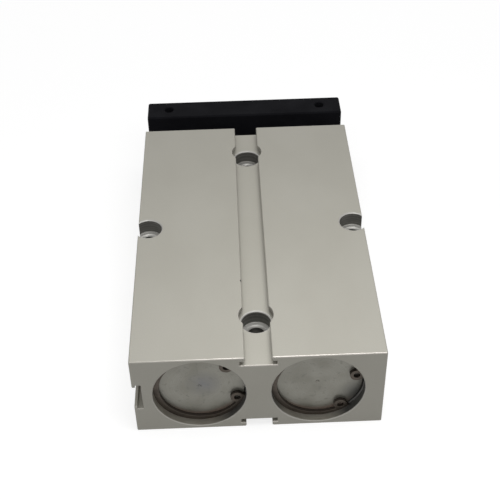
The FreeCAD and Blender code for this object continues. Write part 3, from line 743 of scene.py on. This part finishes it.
def make_block():
    """The block with softened edges, threaded ports and a finish for each way it is cut."""
    low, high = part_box("cylinder_body")

    def is_outside(edge):
        """Leaves the edges deep in the bores and where the side holes break out sharp."""
        middle = (edge.verts[0].co + edge.verts[1].co) / 2
        is_deep = low.y + BORE_MOUTH <= middle.y <= high.y - BORE_MOUTH
        in_mouth = (high.x - abs(middle.x) < CBORE_MOUTH
                    and abs(middle.y - mounts["side_bolts"]["pos_m"][1]) < CBORE_RADIUS)
        return not in_mouth and not (is_deep and bore_distance(middle) < BORE_EDGE)

    shape = merged("cylinder_body")
    soften(shape, (low, high), BLOCK_EDGE, BLOCK_FINISHES.index("body_edge"), is_outside)
    for name in ("rear_port", "front_port"):
        port = mounts[name]
        cut_thread(shape, Vector(port["pos_m"]), port["axis"], port["dims"]["r_mm"] * MM,
                   PORT_THREAD, BLOCK_FINISHES.index("machined"))
    block = make_object("block", shape, ROUNDED)
    centres = hole_centres()
    hole_radius = mounts["middle_bolts"]["dims"]["hole_r_mm"] * MM
    spots = [vert.co for vert in block.data.vertices]
    for face in block.data.polygons:
        corners = [spots[index] for index in face.vertices]
        face.material_index = block_finish(face, corners, centres, hole_radius, low, high)
    for name in BLOCK_FINISHES:
        block.data.materials.append(LOOKS[name])
    weigh_normals(block)
    add_piece(block, "cylinder_body")


def make_plate():
    """The front plate with softened edges and threaded holes."""
    low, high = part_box("front_plate")
    shape = merged("front_plate")
    soften(shape, (low, high), PLATE_EDGE)
    tools = mounts["plate_holes"]
    dims = tools["dims"]
    for across in (-0.5, 0.5):
        for up in (-0.5, 0.5):
            place = Vector((across * dims["spacing_x_mm"] * MM, (low.y + high.y) / 2,
                            tools["pos_m"][2] + up * dims["spacing_y_mm"] * MM))
            cut_thread(shape, place, tools["axis"], dims["hole_r_mm"] * MM, TOOL_THREAD)
    for level in ("top", "bottom"):
        for side in SIDES:
            hole = mounts[f"plate_{level}_hole_{side}"]
            cut_thread(shape, Vector(hole["pos_m"]), hole["axis"], hole["dims"]["r_mm"] * MM,
                       EDGE_THREAD)
    plate = make_object("plate", shape, ROUNDED)
    weigh_normals(plate)
    add_piece(plate, "front_plate")


def make_clip(end, side):
    """A circlip with its stamped edges slightly rounded, its sides dark brown as painted shade."""
    finishes = ("spring_steel", "clip_edge", "clip_side_shade")
    node = f"{end}_circlip_{side}"
    shape = merged(node)
    soften(shape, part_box(node), CLIP_EDGE, finishes.index("clip_edge"))
    # Sides across the axis take the painted shade
    for face in shape.faces:
        if face.material_index == 0 and abs(face.normal.y) < SIDEWAYS:
            face.material_index = finishes.index("clip_side_shade")
    clip = make_object(f"{end}_clip_{side}", shape, ROUNDED)
    for name in finishes:
        clip.data.materials.append(LOOKS[name])
    weigh_normals(clip)
    add_piece(clip, node)


def make_plate_screw(side):
    """A socket head screw with a knurled head."""
    node = f"plate_screw_{side}"
    low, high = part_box(node)
    head = (high.x - low.x) / 2
    seat = high.y - HEAD_LENGTH
    rise, step = HEAD_SEAT
    ribbed = knurl(head, KNURL_TEETH, KNURL_DEPTH)
    stations = [(low.y, SHANK_RADIUS - SHANK_CHAMFER), (low.y + SHANK_CHAMFER, SHANK_RADIUS),
                (seat, SHANK_RADIUS), (seat, head - step), (seat + rise, ribbed),
                (high.y - KNURL_END, ribbed)]
    stations += [(high.y - along, least(ribbed, head - inset)) for along, inset in HEAD_RIM]
    stations += socket(high.y, **SCREW_SOCKET)
    shape = lathe(stations, count=192, middle=(low + high) / 2)
    piece = make_object(f"head_{side}", shape)
    add_piece(piece, node)


def make_adjusting_bolt():
    """The threaded bolt, with a plain tip inside its bumper and a socket in its end."""
    low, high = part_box("adjusting_bolt")
    radius = (high.z - low.z) / 2
    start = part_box("adjuster_bumper")[1].y
    stations = [(low.y, TIP_RADIUS - TIP_CHAMFER), (low.y + TIP_CHAMFER, TIP_RADIUS),
                (start, TIP_RADIUS)]
    for along, cut in threaded(BOLT_CORE, radius, BOLT_PITCH, start, high.y, steps=12):
        from_end = min(along - start, high.y - along)
        stations.append((along, least(cut, radius - BOLT_LEAD + from_end)))
    stations += socket(high.y, **BOLT_SOCKET)
    shape = lathe(stations, count=48, middle=(low + high) / 2)
    piece = make_object("bolt", shape)
    add_piece(piece, "adjusting_bolt")


def make_lock_nut():
    """A hexagon nut with turned ends."""
    low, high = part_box("lock_nut")
    outer = hexagon(high.z - low.z, start=math.pi / 6)
    stations = [(low.y + along, least(outer, reach)) for along, reach in NUT_ENDS]
    stations += [(high.y - along, least(outer, reach)) for along, reach in reversed(NUT_ENDS)]
    stations += [(high.y, NUT_HOLE + NUT_CHAMFER), (high.y - NUT_CHAMFER, NUT_HOLE),
                 (low.y + NUT_CHAMFER, NUT_HOLE), (low.y, NUT_HOLE + NUT_CHAMFER)]
    shape = lathe(stations, count=96, middle=(low + high) / 2, closed=True)
    piece = make_object("nut", shape, NUT_SHARP)
    add_piece(piece, "lock_nut")


make_block()
make_plate()
for side in SIDES:
    make_plate_screw(side)
    for end in ("rear", "front"):
        make_clip(end, side)
make_adjusting_bolt()
make_lock_nut()


# Stage

def is_seen_directly(tree):
    """A factor that is 1 for what the camera sees, also in a reflection or through glass."""
    path = tree.nodes.new("ShaderNodeLightPath")
    total = path.outputs["Is Camera Ray"]
    for name in ("Is Glossy Ray", "Is Transmission Ray"):
        both = tree.nodes.new("ShaderNodeMath")
        both.operation = "MAXIMUM"
        tree.links.new(total, both.inputs[0])
        tree.links.new(path.outputs[name], both.inputs[1])
        total = both.outputs[0]
    return total


def make_floor(half=FLOOR_HALF):
    """A pale floor that takes the part's shadow and glows only where it is seen."""
    mesh = bpy.data.meshes.new("floor")
    corners = [(-half, -half, 0), (half, -half, 0), (half, half, 0), (-half, half, 0)]
    mesh.from_pydata(corners, [], [(0, 1, 2, 3)])
    floor = add_object("floor", mesh)
    look = Look("floor_white", Base_Color=(FLOOR_ALBEDO, FLOOR_ALBEDO, FLOOR_ALBEDO, 1),
                Roughness=1.0, Specular_IOR_Level=0.0, Emission_Color=(1, 1, 1, 1))
    seen = is_seen_directly(look.tree)
    look.drive("Emission Strength", look.math("MULTIPLY", seen, FLOOR_GLOW))
    mesh.materials.append(look.material)


def make_world():
    """White where it is seen, and a dimmer, even light on the part."""
    world = bpy.data.worlds.new("studio")
    bpy.context.scene.world = world
    world.use_nodes = True
    tree = world.node_tree
    background = tree.nodes["Background"]
    background.inputs["Color"].default_value = (1, 1, 1, 1)
    level = tree.nodes.new("ShaderNodeMapRange")
    tree.links.new(is_seen_directly(tree), level.inputs["Value"])
    level.inputs["To Min"].default_value = AMBIENT
    tree.links.new(level.outputs[0], background.inputs["Strength"])


def make_lamp(name, place, target, size, power):
    """A square soft lamp."""
    lamp = bpy.data.lights.new(name, "AREA")
    lamp.shape = "RECTANGLE"
    lamp.size, lamp.size_y = size, size
    lamp.energy = power
    thing = add_object(name, lamp)
    thing.location = place
    thing.rotation_euler = (Vector(target) - Vector(place)).to_track_quat("-Z", "Y").to_euler()


def make_camera():
    """The photograph's camera."""
    data = bpy.data.cameras.new("camera")
    data.sensor_width = CAMERA_SENSOR
    data.lens = CAMERA_LENS
    camera = add_object("camera", data)
    camera.location = CAMERA_PLACE
    camera.rotation_euler = CAMERA_TURN
    bpy.context.scene.camera = camera


make_floor()
make_world()
make_lamp("key", **KEY_LAMP)
make_lamp("back", **BACK_LAMP)
make_camera()
bpy.context.scene.view_settings.view_transform = "Standard"
